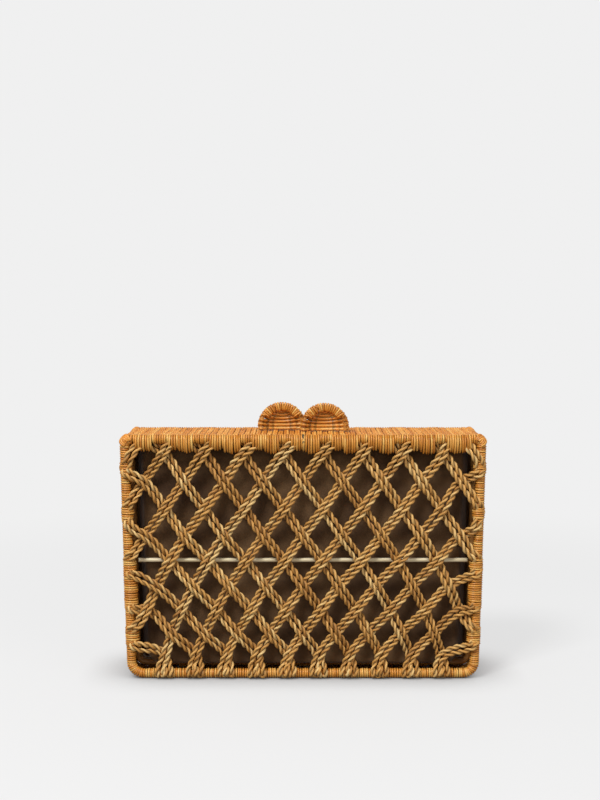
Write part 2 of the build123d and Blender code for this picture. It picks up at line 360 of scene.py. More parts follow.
class Shading:
    """A material under construction, with short calls for its nodes."""

    def __init__(self, name: str, slot: str) -> None:
        """Start a material with its shader.

        Args:
            name: the material's name.
            slot: the record's material slot that it stands for.
        """
        self.material = bpy.data.materials.new(name)
        self.slot = slot
        self.material.use_nodes = True
        self.tree = self.material.node_tree
        self.shader = self.tree.nodes["Principled BSDF"]

    def node(self, kind: str, **settings: object) -> Node:
        """Add a node and set its properties."""
        made = self.tree.nodes.new(kind)
        for key, value in settings.items():
            setattr(made, key, value)
        return made

    def link(self, source: Socket, target: Socket) -> None:
        """Join two sockets."""
        self.tree.links.new(source, target)

    def attribute(self, name: str, vector: bool = False) -> Socket:
        """Read a value or vector that the mesh carries."""
        made = self.node("ShaderNodeAttribute", attribute_name=name)
        return made.outputs["Vector" if vector else "Fac"]

    def place(self) -> Socket:
        """Read the place on the object."""
        return self.node("ShaderNodeTexCoord").outputs["Object"]

    def scaled(self, vector: Socket, scale: Sequence[float]) -> Socket:
        """Scale a vector along its axes."""
        made = self.node("ShaderNodeMapping")
        made.inputs["Scale"].default_value = scale
        self.link(vector, made.inputs["Vector"])
        return made.outputs["Vector"]

    def shifted(self, vector: Socket, value: Socket, reach: float) -> Socket:
        """Shift a vector by a value times a reach, so that each strand has its own pattern."""
        spread = self.math("MULTIPLY", value, reach)
        made = self.node("ShaderNodeVectorMath", operation="ADD")
        self.link(vector, made.inputs[0])
        self.link(spread, made.inputs[1])
        return made.outputs[0]

    def noise(self, vector: Socket, scale: float, detail: float = 2.0) -> Socket:
        """Soft noise over a vector."""
        made = self.node("ShaderNodeTexNoise")
        made.inputs["Scale"].default_value = scale
        made.inputs["Detail"].default_value = detail
        self.link(vector, made.inputs["Vector"])
        return made.outputs["Fac"]

    def math(self, operation: str, first: object, second: object) -> Socket:
        """Combine two values, each a socket or a number."""
        made = self.node("ShaderNodeMath", operation=operation)
        for index, value in enumerate((first, second)):
            if isinstance(value, Socket):
                self.link(value, made.inputs[index])
            else:
                made.inputs[index].default_value = value
        return made.outputs[0]

    def blend(self, shares: Sequence[tuple[Socket, float]]) -> Socket:
        """Add values, each times its share."""
        total = self.math("MULTIPLY", *shares[0])
        for value, share in shares[1:]:
            total = self.math("ADD", total, self.math("MULTIPLY", value, share))
        return total

    def ramp(self, value: Socket, stops: Iterable[tuple[float, Triple]]) -> Socket:
        """Turn a value into a colour between stops."""
        made = self.node("ShaderNodeValToRGB")
        elements = made.color_ramp.elements
        for index, (position, colour) in enumerate(stops):
            element = elements[index] if index < len(elements) else elements.new(position)
            element.position = position
            element.color = (*colour, 1.0)
        self.link(value, made.inputs["Fac"])
        return made.outputs["Color"]

    def darkened(self, colour: Socket, shade: Socket) -> Socket:
        """Multiply a colour by a grey."""
        made = self.node("ShaderNodeMix", data_type="RGBA", blend_type="MULTIPLY")
        made.inputs["Factor"].default_value = 1.0
        self.link(colour, made.inputs["A"])
        self.link(shade, made.inputs["B"])
        return made.outputs["Result"]

    def surface(
        self, colour: Socket, height: Socket, relief: float, **constants: float
    ) -> bpy.types.Material:
        """Join the colour and the relief to the shader and set what is the same all over.

        Args:
            colour: the colour over the surface.
            height: the height over the surface, from 0 to 1.
            relief: depth of the relief in metres.
            constants: the shader's sockets, with underscores for spaces.

        Returns:
            The finished material.
        """
        self.link(colour, self.shader.inputs["Base Color"])
        bump = self.node("ShaderNodeBump")
        bump.inputs["Distance"].default_value = relief
        bump.inputs["Strength"].default_value = 0.6
        self.link(height, bump.inputs["Height"])
        self.link(bump.outputs["Normal"], self.shader.inputs["Normal"])
        for key, value in constants.items():
            self.shader.inputs[key.replace("_", " ")].default_value = value
        return self.material


@dataclass(frozen=True)
class StrandFinish:
    """Finish of a strand of plant fibre: streaks along it, its own tone, and painted shade in the grooves
    beside it.
    """

    name: str
    slot: str
    deep: Paint
    middle: Paint
    light: Paint
    # Grey of the painted groove shade, and the crest value at which that painted shade ends.
    groove_shade: float
    groove_shade_end: float
    streaks: Point
    relief: float
    roughness: float
    coat: float

    def build(self) -> Shading:
        """Make the material.

        Returns:
            The finished shading.
        """
        shading = Shading(self.name, self.slot)
        tone = shading.attribute("tone")
        grain = shading.shifted(shading.attribute("grain", vector=True), tone, 3.7)
        along, across = self.streaks
        streaks = shading.noise(shading.scaled(grain, (along, across, across)), 1.0)
        patches = shading.noise(shading.place(), 70.0)
        value = shading.blend(((tone, 0.3), (streaks, 0.55), (patches, 0.35)))
        colour = shading.ramp(value, zip((0.3, 0.6, 0.9), map(linear, (self.deep, self.middle, self.light))))
        # Painted shade: the colour is darkened where the crest value is low, in the grooves between strands
        # and plies.
        dark = (self.groove_shade, self.groove_shade * 0.86, self.groove_shade * 0.72)
        shade = shading.ramp(shading.attribute("crest"), ((0.0, dark), (self.groove_shade_end, WHITE)))
        shading.surface(
            shading.darkened(colour, shade),
            streaks,
            self.relief,
            Roughness=self.roughness,
            Coat_Weight=self.coat,
            Coat_Roughness=0.28,
        )
        return shading


@dataclass(frozen=True)
class CaneFinish:
    """Finish of a smooth cane rod: long fibres, faint joints and a dull polish."""

    name: str
    slot: str
    deep: Paint
    light: Paint
    roughness: float = 0.42

    def build(self) -> Shading:
        """Make the material.

        Returns:
            The finished shading.
        """
        shading = Shading(self.name, self.slot)
        place = shading.place()
        fibres = shading.noise(shading.scaled(place, (30.0, 900.0, 900.0)), 1.0, 3.0)
        patches = shading.noise(place, 40.0)
        value = shading.blend(((fibres, 0.6), (patches, 0.4)))
        colour = shading.ramp(value, zip((0.32, 0.62), map(linear, (self.deep, self.light))))
        shading.surface(colour, fibres, 0.00008, Roughness=self.roughness)
        return shading


@dataclass(frozen=True)
class SuedeFinish:
    """Finish of the brushed lining fabric: a short nap, brushed lighter and darker in patches."""

    name: str
    slot: str
    deep: Paint
    middle: Paint
    light: Paint

    def build(self) -> Shading:
        """Make the material.

        Returns:
            The finished shading.
        """
        shading = Shading(self.name, self.slot)
        place = shading.place()
        nap = shading.noise(place, 1600.0, 3.0)
        brushed = shading.noise(place, 38.0, 4.0)
        value = shading.blend(((nap, 0.35), (brushed, 0.65)))
        paints = map(linear, (self.deep, self.middle, self.light))
        colour = shading.ramp(value, zip((0.34, 0.5, 0.66), paints))
        shading.surface(colour, nap, 0.0002, Roughness=0.95, Sheen_Weight=0.25, Sheen_Roughness=0.5)
        return shading


@dataclass(frozen=True)
class FloorFinish:
    """Finish of the pale floor: it takes the object's shadow softly, adds a painted contact shadow under and
    beside the object, and fades to the even backdrop.
    """

    backdrop: float
    brightness: float = 0.22
    glow: float = 0.635
    # How far the painted contact shadow reaches from the object.
    reach: float = 0.04
    near: float = 0.35
    far: float = 0.8

    def build(self) -> bpy.types.Material:
        """Make the material.

        Returns:
            The floor's material.
        """
        shading = Shading("pale_floor", "")
        shading.shader.inputs["Base Color"].default_value = (*[self.brightness] * 3, 1.0)
        shading.shader.inputs["Roughness"].default_value = 0.9
        shading.shader.inputs["Specular IOR Level"].default_value = 0.0
        length = shading.node("ShaderNodeVectorMath", operation="LENGTH")
        shading.link(shading.place(), length.inputs[0])
        spread = shading.node("ShaderNodeMapRange", interpolation_type="SMOOTHSTEP")
        spread.inputs["From Min"].default_value = self.near
        spread.inputs["From Max"].default_value = self.far
        shading.link(length.outputs["Value"], spread.inputs["Value"])
        seen = shading.node("ShaderNodeLightPath").outputs["Is Camera Ray"]
        lift = self.emission(shading, self.glow)
        # Painted contact shadow: ambient occlusion dims the glow near the object, so the floor is darker
        # under and beside it.
        contact_shade = shading.node("ShaderNodeAmbientOcclusion", samples=8)
        contact_shade.inputs["Distance"].default_value = self.reach
        shading.link(shading.math("MULTIPLY", seen, contact_shade.outputs["AO"]), lift.inputs["Strength"])
        lifted = shading.node("ShaderNodeAddShader")
        shading.link(shading.shader.outputs[0], lifted.inputs[0])
        shading.link(lift.outputs[0], lifted.inputs[1])
        mix = shading.node("ShaderNodeMixShader")
        shading.link(shading.math("MULTIPLY", spread.outputs["Result"], seen), mix.inputs["Fac"])
        shading.link(lifted.outputs[0], mix.inputs[1])
        shading.link(self.emission(shading, self.backdrop).outputs[0], mix.inputs[2])
        shading.link(mix.outputs[0], shading.tree.nodes["Material Output"].inputs["Surface"])
        return shading.material

    @staticmethod
    def emission(shading: Shading, level: float) -> Node:
        """A grey emission node."""
        made = shading.node("ShaderNodeEmission")
        made.inputs["Color"].default_value = (*[level] * 3, 1.0)
        return made


def dress(piece: Object, finish: Shading, body: str, node: str) -> None:
    """Give a finished piece its material and its place in the frame.

    Args:
        piece: the piece.
        finish: its finish.
        body: the body that it rides on.
        node: the CAD node that it stands for.
    """
    piece.data.materials.clear()
    piece.data.materials.append(finish.material)
    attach(piece, body)
    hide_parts(node)
    LOG.info("%s: %d faces on %s", piece.name, len(piece.data.polygons), body)


def finish_strands(parts: Sequence[Object], name: str, finish: Shading, body: str, node: str) -> None:
    """Join strands to one smooth piece and dress it.

    Args:
        parts: the strands.
        name: name of the piece.
        finish: its finish.
        body: the body that it rides on.
        node: the CAD node that it stands for.
    """
    piece = join(parts, name)
    shade_smooth(piece)
    dress(piece, finish, body, node)


# ---- The plan of a face ----


@dataclass(frozen=True)
class Lashing:
    """A wide stretch of winding that binds rope ends on a rail."""

    rail: Rail
    start: float
    end: float
    reach: float


@dataclass(frozen=True)
class Station:
    """A place round the hoop or the wall of a half: its rail, or none at a corner, and the way out of it."""

    rail: Rail | None
    place: Vector
    outward: Vector

    @property
    def along(self) -> float:
        """The place along its rail: its X on the top and the bottom, and its Z at the sides."""
        return self.place.x if self.rail in (Rail.TOP, Rail.BOTTOM) else self.place.z


@dataclass(frozen=True)
class FacePlan:
    """The measures of a half: its outline, where its ropes cross, and where they are bound to the hoop."""

    length: float = 0.260
    height: float = 0.180
    top_corner: float = 0.008
    bottom_corner: float = 0.012
    wound: float = 0.0073
    rail_setback: float = 0.02635
    seam_gap: float = 0.00015
    top_row_drop: float = 0.0137
    bottom_row_rise: float = 0.0166
    last_row: int = 8
    crowding: float = 0.098
    column_pitch: float = 0.0283
    narrowing: float = 0.2
    narrowing_start: float = 0.375
    narrowing_power: float = 1.3
    side_margin: float = 0.011
    rise_slope: float = 0.62
    fall_slope: float = 1.4
    rope_wave: float = 0.0020
    short_reach: float = 0.0122
    long_reach: float = 0.0145
    corner_reach: float = 0.0136
    short_share: float = 0.44
    corner_start: float = 0.118
    corner_crowding: float = 0.6
    notches: tuple[Point, ...] = (
        (-0.0075, 0.0040),
        (-0.0069, 0.0051),
        (-0.0020, 0.0068),
        (-0.0030, 0.0062),
        (-0.0026, 0.0056),
        (-0.0036, 0.0040),
        (-0.0064, 0.0048),
        (-0.0054, 0.0022),
    )
    side_wraps: tuple[Triple, ...] = (
        (0.1520, 0.1605, 0.0096),
        (0.1190, 0.1276, 0.0096),
        (0.0792, 0.0904, 0.0104),
        (0.0535, 0.0780, 0.0108),
        (0.0255, 0.0390, 0.0108),
    )

    @property
    def inset(self) -> float:
        """Distance of the rail's centre line from the outer faces."""
        return self.wound / 2

    def around(self, inset: float, pitch: float, group: int = 1) -> list[Station]:
        """Even places round the outer face: the straight stretches first, then the corners.

        Args:
            inset: distance of the places from the outer face.
            pitch: distance from one to the next.
            group: how many belong together, so that each stretch has a whole number of groups.

        Returns:
            The places.
        """
        half = self.length / 2
        top, low = self.height - self.top_corner, self.bottom_corner
        high_end, low_end = half - self.top_corner, half - low
        found = []
        side, roof = half - inset, self.height - inset
        for rail, start, end in (
            (Rail.TOP, Vector((-high_end, 0, roof)), Vector((high_end, 0, roof))),
            (Rail.RIGHT, Vector((side, 0, top)), Vector((side, 0, low))),
            (Rail.BOTTOM, Vector((low_end, 0, inset)), Vector((-low_end, 0, inset))),
            (Rail.LEFT, Vector((-side, 0, low)), Vector((-side, 0, top))),
        ):
            along = (end - start).normalized()
            outward = Vector((-along.z, 0, along.x))
            count = group * round((end - start).length / pitch / group)
            for turn in range(count):
                found.append(Station(rail, start + (end - start) * ((turn + 0.5) / count), outward))
        for x_side in (-1, 1):
            for radius, z_side, z in ((self.top_corner, 1, top), (low, -1, low)):
                centre = Vector((x_side * (half - radius), 0, z))
                count = round(math.pi / 2 * (radius - inset * self.corner_crowding) / pitch)
                for turn in range(count):
                    angle = (turn + 0.5) / count * math.pi / 2
                    outward = Vector((x_side * math.cos(angle), 0, z_side * math.sin(angle)))
                    found.append(Station(None, centre + outward * (radius - inset), outward))
        return found

    def crossing(self, row: float, column: float) -> Point:
        """Place of a crossing, as x and z."""
        share = row / self.last_row
        span = self.height - self.top_row_drop - self.bottom_row_rise
        drop = (1 + self.crowding) * share - self.crowding * share**2
        below = max(0.0, (share - self.narrowing_start) / (1 - self.narrowing_start))
        pitch = self.column_pitch * (1 - self.narrowing * below**self.narrowing_power)
        return column * pitch, self.height - self.top_row_drop - span * drop

    def is_inside(self, row: float, column: float) -> bool:
        """Whether a crossing lies on the open face."""
        reach = self.length / 2 - self.side_margin
        return 0 <= row <= self.last_row and abs(self.crossing(row, column)[0]) <= reach

    def columns(self, row: int) -> list[float]:
        """Columns of the crossings in one row, from left to right."""
        offset = 0.5 if row % 2 == 0 else 0.0
        reach = math.ceil(self.length / self.column_pitch)
        return [step + offset for step in range(-reach, reach) if self.is_inside(row, step + offset)]

    def beyond(self, row: float, column: float, lean: int, up: int) -> Point:
        """Point that a rope heads for when it leaves its last crossing."""
        x, z = self.crossing(row, column)
        next_x = self.crossing(row, column + up * lean / 2)[0]
        if 0 <= row - up <= self.last_row:
            slope = self.rise_slope if up > 0 else self.fall_slope
            return next_x, z + up * slope * abs(next_x - x)
        return next_x, self.crossing(row - up, column)[1]

    def wrap_edge(self, z: float, up: int) -> float:
        """Near edge of the side lashing that a rope's end goes under, seen along its way up or down."""
        edges = [low if up > 0 else high for low, high, _ in self.side_wraps]
        far = [high if up > 0 else low for low, high, _ in self.side_wraps]
        ahead = [edge for edge, end in zip(edges, far) if up * end > up * z]
        return min(ahead or edges, key=lambda edge: abs(edge - z))

    def openings(self) -> list[Triple]:
        """Places of the top row's crossings, each with the edges of the opening in the lashings there."""
        crossings = [self.crossing(0, column)[0] for column in self.columns(0)]
        return [(x, x + left, x + right) for x, (left, right) in zip(crossings, self.notches)]

    def landing(self, start: Point, target: Point, inset: float) -> tuple[float, float, bool]:
        """Where a rope meets the frame at an inset.

        Args:
            start: its last crossing.
            target: the point that it heads for.
            inset: distance from the outer faces.

        Returns:
            The place's x and z, and whether it is at a side rail.
        """
        run = target[0] - start[0]
        rise = target[1] - start[1]
        to_side = (math.copysign(self.length / 2 - inset, run) - start[0]) / run
        to_end = ((self.height - inset if rise > 0 else inset) - start[1]) / rise
        share = min(to_side, to_end)
        return start[0] + share * run, start[1] + share * rise, to_side < to_end

    def runs(self, lean: Lean) -> list[list[Point]]:
        """Crossings along each rope that leans one way, from the top down."""
        found = []
        for row in range(self.last_row + 1):
            for column in self.columns(row):
                if self.is_inside(row - 1, column + lean.value / 2):
                    continue
                run = [(row, column)]
                while self.is_inside(run[-1][0] + 1, run[-1][1] - lean.value / 2):
                    run.append((run[-1][0] + 1, run[-1][1] - lean.value / 2))
                found.append(run)
        return found

    def ends(self, run: Sequence[Point], lean: Lean) -> list[tuple[Point, Point, int]]:
        """The two ends of a rope: last crossing, point that it heads for, and whether it goes up."""
        first, last = run[0], run[-1]
        return [
            (self.crossing(*first), self.beyond(*first, lean.value, 1), 1),
            (self.crossing(*last), self.beyond(*last, lean.value, -1), -1),
        ]

    def lashings(self) -> list[Lashing]:
        """All the lashings of a face."""
        openings = self.openings()
        found = [
            Lashing(Rail.TOP, -self.corner_start, openings[0][1], self.corner_reach),
            Lashing(Rail.TOP, openings[-1][2], self.corner_start, self.corner_reach),
        ]
        for (_, _, start), (_, end, _) in zip(openings, openings[1:]):
            split = start + (end - start) * self.short_share
            found.append(Lashing(Rail.TOP, start, split, self.short_reach))
            found.append(Lashing(Rail.TOP, split, end, self.long_reach))
        for low, high, reach in self.side_wraps:
            found.append(Lashing(Rail.LEFT, low, high, reach))
            found.append(Lashing(Rail.RIGHT, low, high, reach))
        return found


@dataclass
class HalfPart:
    """A part of one half of the bag."""

    plan: FacePlan
    half: Half

    def finish(self, parts: Sequence[Object], kind: str, finish: Shading, node: str) -> None:
        """Join strands to a piece of the half, and dress it.

        Args:
            parts: the strands.
            kind: name of the piece, without its half.
            finish: its finish.
            node: name of the CAD node that it stands for, without its half.
        """
        half = self.half.value
        finish_strands(parts, f"{half}_{kind}", finish, self.half.body, f"{half}_{node}")


# ---- The lattice of rope ----


@dataclass
class RopeLattice(HalfPart):
    """The doubled two-ply ropes of one face, woven over and under."""

    strand_offset: float = 0.00200
    ply_radius: float = 0.00106
    ply_offset: float = 0.00094
    ply_sides: int = 6
    lay: float = 0.0115
    steps_in_lay: int = 11
    over_side: float = 0.0042
    landing_share: float = 0.85
    short_of_wrap: float = 0.0008
    least_dive: float = 0.0012
    past_wrap: float = 0.0014
    dive_rise: float = 0.0006
    dive_steps: Point = (0.0042, 0.0070)
    rail_edge: float = 0.0078
    top_drop: float = 0.0006
    over_top: float = 0.0018
    hidden: float = 0.0004
    tuck: float = 0.0045
    foot_steps: tuple[Triple, ...] = (
        (0.0021, 0.0016, 0.0106),
        (0.0030, 0.0040, 0.0066),
        (0.0030, 0.0047, 0.0042),
        (0.0030, 0.0034, 0.0028),
        (0.0030, 0.0, 0.0028),
    )
    corner_steps: tuple[Triple, ...] = (
        (0.1130, 0.0004, 0.0),
        (0.1168, 0.0018, 0.0042),
        (0.1215, 0.0042, 0.0105),
        (0.1245, 0.0042, 0.0155),
        (0.1262, 0.0004, 0.0220),
    )
    bow: float = 0.00032
    unevenness: float = 0.09
    draw: random.Random = field(default_factory=lambda: random.Random(11))

    def route(self, run: Sequence[Point], lean: Lean) -> list[Vector]:
        """Points of one doubled rope's middle line, with its depth outside the rail's plane in Y.

        Args:
            run: its crossings.
            lean: the way it leans.

        Returns:
            The points, from the top down.
        """
        above, below = self.plan.ends(run, lean)
        points = []
        for row, column in run:
            over = (row % 2 == 0) == (lean is Lean.RISING)
            x, z = self.plan.crossing(row, column)
            points.append(Vector((x, self.plan.rope_wave * (1 if over else -1), z)))
        top = self.end_points(*above, lean)
        bottom = self.end_points(*below, lean)
        return [*reversed(top), *points, *bottom]

    def end_points(self, start: Point, target: Point, up: int, lean: Lean) -> list[Vector]:
        """Points of a rope's end, from its last crossing on: over the rail and in under the winding."""
        x, z, at_side = self.plan.landing(start, target, self.rail_edge)
        if at_side:
            edge = self.plan.wrap_edge(z, up)
            z = up * min(up * z, up * edge - self.short_of_wrap)
            dive = up * max(up * z + self.least_dive, up * edge - self.past_wrap)
            centre = math.copysign(self.plan.length / 2 - self.plan.inset, x)
            return [
                Vector((x, self.over_side * self.landing_share, z)),
                Vector(((x + centre) / 2, self.over_side, (z + dive) / 2 + up * self.dive_rise)),
                *(Vector((centre, self.hidden, dive + up * step)) for step in self.dive_steps),
            ]
        side = math.copysign(1.0, x - start[0])
        if up > 0:
            _, left, right = min(self.plan.openings(), key=lambda opening: abs(opening[0] - start[0]))
            edge = right if side > 0 else left
            proud = self.over_top if lean is Lean.RISING else -self.hidden
            low = self.plan.height - self.plan.wound
            return [
                Vector((edge, proud, low - self.top_drop)),
                Vector((edge + side * self.tuck, self.hidden, low + self.plan.inset)),
            ]
        return [Vector((start[0] + side * out, depth, z)) for out, depth, z in self.foot_steps]

    def corner_route(self, lean: Lean) -> list[Vector]:
        """Points of the short rope over a top corner: at the left if it rises, at the right if it falls."""
        side = -lean.value
        top = self.plan.height - self.plan.inset
        return [Vector((side * x, depth, top - drop)) for x, depth, drop in self.corner_steps]

    def beside(self, points: Sequence[Vector], offset: float) -> list[Vector]:
        """Points moved sideways in the face and to the face's own depth."""
        moved = []
        for index, point in enumerate(points):
            before = points[max(0, index - 1)]
            after = points[min(len(points) - 1, index + 1)]
            along = after - before
            across = Vector((along.z, 0, -along.x))
            if across.length < SAME_PLACE:
                across = Vector((1, 0, 0))
            across.normalize()
            stray = Vector([self.draw.uniform(-self.bow, self.bow) for _ in range(3)])
            place = point + across * offset + stray
            moved.append(Vector((place.x, self.half.side * (self.plan.rail_setback + place.y), place.z)))
        return moved

    def twisted(self, length: float) -> Object:
        """A straight two-ply rope along X, screwed from two round plies.

        Args:
            length: its length.

        Returns:
            The rope's mesh object, with its grain and crests.
        """
        turns = max(1, round(length / self.lay))
        phase = self.draw.uniform(0, FULL_TURN)
        deselect()
        plies = []
        for ply in range(2):
            angle = phase + ply * math.pi
            bpy.ops.mesh.primitive_circle_add(
                vertices=self.ply_sides,
                radius=self.ply_radius,
                location=(0, math.cos(angle) * self.ply_offset, math.sin(angle) * self.ply_offset),
                rotation=(0, math.pi / 2, 0),
            )
            plies.append(bpy.context.object)
        for ply in plies:
            activate(ply)
            bpy.ops.object.transform_apply(location=True, rotation=True, scale=True)
        rope = join(plies, "rope")
        screw = rope.modifiers.new("lay", "SCREW")
        screw.axis = "X"
        screw.screw_offset = length / turns
        screw.iterations = turns
        screw.steps = self.steps_in_lay
        screw.render_steps = self.steps_in_lay
        screw.use_merge_vertices = False
        apply_modifiers(rope)
        edit(True)
        bpy.ops.mesh.select_all(action="SELECT")
        bpy.ops.mesh.fill_holes(sides=self.ply_sides)
        bpy.ops.mesh.normals_make_consistent(inside=False)
        edit(False)
        self.mark(rope.data, phase, length / turns)
        swell = 1 + self.draw.uniform(-self.unevenness, self.unevenness)
        rope.data.transform(Matrix.Diagonal((1, swell, swell, 1)))
        return rope

    def mark(self, mesh: Mesh, phase: float, lay: float) -> None:
        """Write the grain along each ply, the crests that set the painted shade between the plies, and the
        tone of a straight rope.
        """
        grain = []
        crest = []
        tone = []
        tones = (self.draw.random(), self.draw.random())
        widest = self.ply_offset + self.ply_radius
        for vertex in mesh.vertices:
            x, y, z = vertex.co
            angle = phase + FULL_TURN * x / lay
            ply = 0 if y * math.cos(angle) + z * math.sin(angle) > 0 else 1
            angle += ply * math.pi
            cos, sin = math.cos(angle), math.sin(angle)
            dy = y - cos * self.ply_offset
            dz = z - sin * self.ply_offset
            grain += [x, dy * cos + dz * sin, dz * cos - dy * sin]
            # Painted shade: the crest value falls towards the rope's axis, so the finish darkens the grooves
            # between the plies.
            crest.append(math.hypot(y, z) / widest)
            tone.append(tones[ply])
        set_values(mesh, "grain", "FLOAT_VECTOR", grain)
        set_values(mesh, "crest", "FLOAT", crest)
        set_values(mesh, "tone", "FLOAT", tone)

    def bent(self, points: Sequence[Vector]) -> Object:
        """A twisted rope laid along points."""
        path = smooth_curve(points)
        bpy.context.view_layer.update()
        length = path.data.splines[0].calc_length()
        path.data.use_stretch = True
        path.data.use_deform_bounds = True
        rope = self.twisted(length)
        bend = rope.modifiers.new("route", "CURVE")
        bend.object = path
        bend.deform_axis = "POS_X"
        apply_modifiers(rope)
        discard(path)
        return rope

    def build(self, finish: Shading) -> None:
        """Make the face's ropes, one piece for each way they lean."""
        for lean in Lean:
            ropes = []
            routes = [self.route(run, lean) for run in self.plan.runs(lean)]
            for route in (*routes, self.corner_route(lean)):
                for offset in (-self.strand_offset, self.strand_offset):
                    ropes.append(self.bent(self.beside(route, offset)))
            self.finish(ropes, f"ropes_{lean.name.lower()}", finish, "lattice")


# ---- The wound rails ----


@dataclass
class RailWinding(HalfPart):
    """The close turns of fine core round one face hoop, drawn long where they bind the ropes."""

    core: float = 0.00176
    pitch: float = 0.00170
    jitter: float = 0.035
    tilt: float = 0.05
    bulge: float = 1.22
    side_lift: float = 0.0005
    group_round: float = 0.13
    fan: float = 0.10
    rail_slant: float = 0.10
    corner_core: float = 0.0021
    corner_lift: float = 0.0009
    corner_strands: int = 3
    corner_sweep: float = 62.0
    corner_step: float = 15.0
    corner_overlap: float = 0.05
    corner_samples: int = 9
    draw: random.Random = field(default_factory=lambda: random.Random(23))

    def reach_at(self, station: Station, lashings: Sequence[Lashing]) -> Point:
        """How deep the turn at a place reaches from the outer face, and its lean in its group."""
        for lashing in lashings:
            if lashing.rail is station.rail and lashing.start <= station.along <= lashing.end:
                middle = (lashing.start + lashing.end) / 2
                return lashing.reach, (station.along - middle) / (lashing.end - lashing.start)
        return self.plan.wound, 0.0

    def place_turn(self, station: Station, reach: float, lean: float) -> Matrix:
        """How one turn stands in its frame.

        Args:
            station: its place on the hoop.
            reach: how deep it reaches from the outer face.
            lean: its place in its group, from -0.5 to 0.5.

        Returns:
            Its swell, its depth and its slant.
        """
        grow = 1 + self.draw.uniform(-self.jitter, self.jitter)
        lift = Matrix.Translation((0, self.plan.inset, 0))
        tilt = Matrix.Rotation(self.draw.uniform(-self.tilt, self.tilt), 4, "X")
        if reach == self.plan.wound:
            return lift @ Matrix.Diagonal((grow, grow, 1, 1)) @ tilt @ lift.inverted()
        depth = reach / self.plan.wound * (grow - self.group_round * (2 * lean) ** 2)
        if station.rail is Rail.TOP:
            depth *= 1 + self.rail_slant * station.along / self.plan.length
        else:
            lift = lift @ Matrix.Translation((0, self.side_lift, 0))
        fan = Matrix.Rotation(lean * self.fan * self.half.side, 4, "X")
        swell = Matrix.Diagonal((grow * self.bulge, depth, 1, 1))
        return lift @ swell @ fan @ tilt @ Matrix.Translation((0, -self.plan.inset, 0))

    def build(self, finish: Shading) -> None:
        """Make the winding of the face hoop."""
        lashings = self.plan.lashings()
        radius = (self.plan.wound - self.core) / 2
        to_seam = Vector((0, -self.half.side, 0))
        pattern = core_ring(radius, self.core)
        places = []
        setback = to_seam * -self.plan.rail_setback
        for station in self.plan.around(self.plan.inset, self.pitch):
            frame = frame_at(station.place + setback, to_seam, station.outward)
            places.append(frame @ self.place_turn(station, *self.reach_at(station, lashings)))
        turns = place_copies(pattern, places, self.draw)
        turns += self.corner_wraps()
        self.finish(turns, "rail_turns", finish, "edge_winding")

    def corner_wraps(self) -> list[Object]:
        """The strands that cross over the two top corners."""
        wraps = []
        radius = self.plan.inset + self.corner_lift - self.corner_core / 2
        for x_side in (-1, 1):
            corner = Vector((x_side * (self.plan.length / 2 - self.plan.top_corner), 0, 0))
            corner.z = self.plan.height - self.plan.top_corner
            reach = self.plan.top_corner - self.plan.inset
            for slant in (-1, 1):
                for step in range(self.corner_strands):
                    points = []
                    for sample in range(self.corner_samples):
                        share = sample / (self.corner_samples - 1)
                        swing = math.radians(
                            45 + slant * (share - 0.5) * self.corner_sweep + (step - 1) * self.corner_step
                        )
                        roll = math.pi * (share * (1 + 2 * self.corner_overlap) - self.corner_overlap)
                        out = Vector((x_side * math.cos(swing), 0, math.sin(swing)))
                        point = corner + out * (reach + math.sin(roll) * radius)
                        point.y = self.half.side * (self.plan.rail_setback + math.cos(roll) * radius)
                        points.append(point)
                    wraps.append(round_strand(points, self.corner_core / 2, self.draw.random()))
        return wraps


# ---- The woven walls ----


